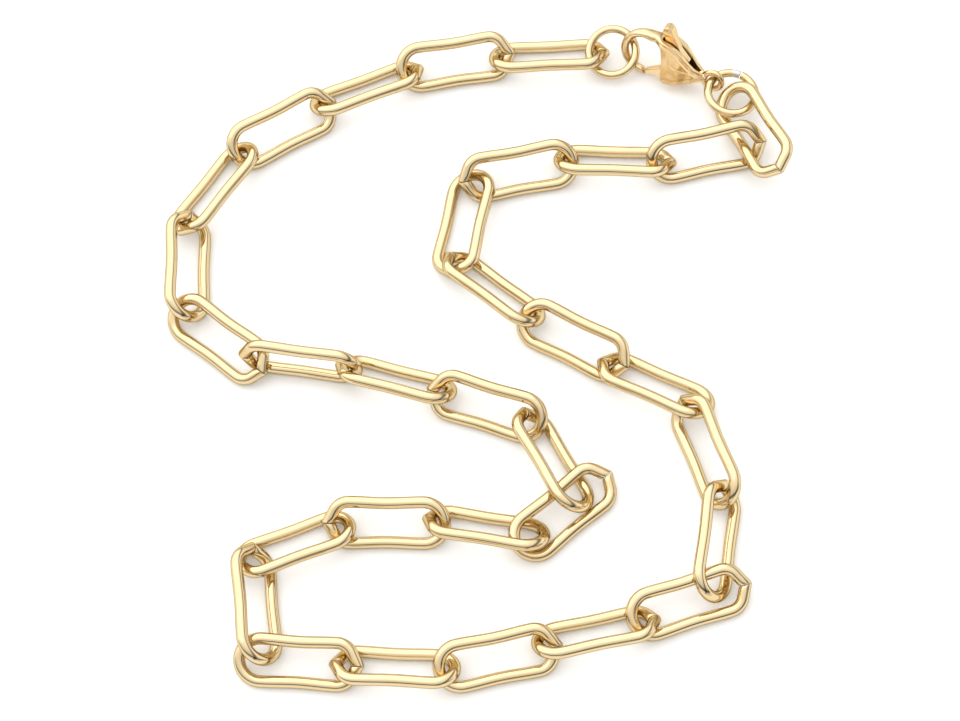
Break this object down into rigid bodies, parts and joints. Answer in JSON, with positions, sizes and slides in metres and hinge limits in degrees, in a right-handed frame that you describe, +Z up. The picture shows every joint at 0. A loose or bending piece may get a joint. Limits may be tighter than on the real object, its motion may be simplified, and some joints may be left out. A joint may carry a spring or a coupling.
{
  "type": "paperclip chain necklace",
  "caption": "Gold-coloured paperclip chain necklace of long oval wire links, fastened by a lobster clasp and lying in a loose loop.",
  "frame": {"origin": "on the surface that the necklace lies on, under the middle of its bounding box", "axes": "+Z up from the surface, +X towards the side where the clasp lies, +Y towards the clasp's end of the loop"},
  "size_m": [0.0866, 0.0982, 0.0091],
  "materials": {
    "gold_plate": "polished"
  },
  "bodies": {
    "chain": {"link_01": "gold_plate", "link_02": "gold_plate", "link_03": "gold_plate", "link_04": "gold_plate", "link_05": "gold_plate", "link_06": "gold_plate", "link_07": "gold_plate", "link_08": "gold_plate", "link_09": "gold_plate", "link_10": "gold_plate", "link_11": "gold_plate", "link_12": "gold_plate", "link_13": "gold_plate", "link_14": "gold_plate", "link_15": "gold_plate", "link_16": "gold_plate", "link_17": "gold_plate", "link_18": "gold_plate", "link_19": "gold_plate", "link_20": "gold_plate", "link_21": "gold_plate", "link_22": "gold_plate", "link_23": "gold_plate", "link_24": "gold_plate", "link_25": "gold_plate", "link_26": "gold_plate", "link_27": "gold_plate", "link_28": "gold_plate", "link_29": "gold_plate", "link_30": "gold_plate", "link_31": "gold_plate", "hook_ring": "gold_plate", "tail_ring": "gold_plate", "clasp_body": "gold_plate", "clasp_pin": "gold_plate"},
    "lever": {"clasp_lever": "gold_plate"}
  },
  "joints": [
    {"name": "lever_hinge", "type": "hinge", "parent": "chain", "child": "lever", "pos_m": [0.02688, 0.04283, 0.00295], "axis": [0.3716, 0.8346, -0.4067], "range_deg": [0, 22], "stiffness_Nm_per_rad": 0.004, "springref_deg": -11.46}
  ]
}
